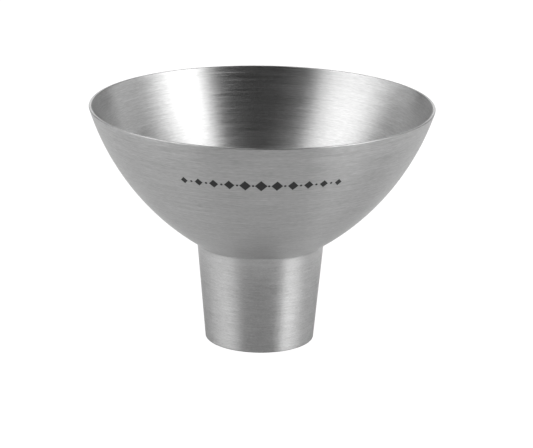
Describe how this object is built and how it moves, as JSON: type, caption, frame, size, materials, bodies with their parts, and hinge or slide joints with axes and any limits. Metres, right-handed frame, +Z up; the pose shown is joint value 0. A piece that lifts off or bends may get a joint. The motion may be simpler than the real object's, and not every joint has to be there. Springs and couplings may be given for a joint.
{
  "type": "filling funnel",
  "caption": "Small steel filling funnel: a wide curved bowl with a plain cut rim, a tight concave neck and a short, slightly tapered spout.",
  "frame": {"origin": "centre of the spout's bottom edge, which is the centre of the box's base", "axes": "+Z up along the funnel's axis, from the spout to the rim; the funnel is round, so X and Y are free"},
  "size_m": [0.08, 0.08, 0.0564],
  "materials": {
    "steel": "fine brushing that runs around the axis, satin",
    "weld": "ground flush and polished outside, as welded inside"
  },
  "bodies": {
    "root": {"bowl": "steel", "neck_weld": "weld", "spout": "steel"}
  },
  "joints": []
}
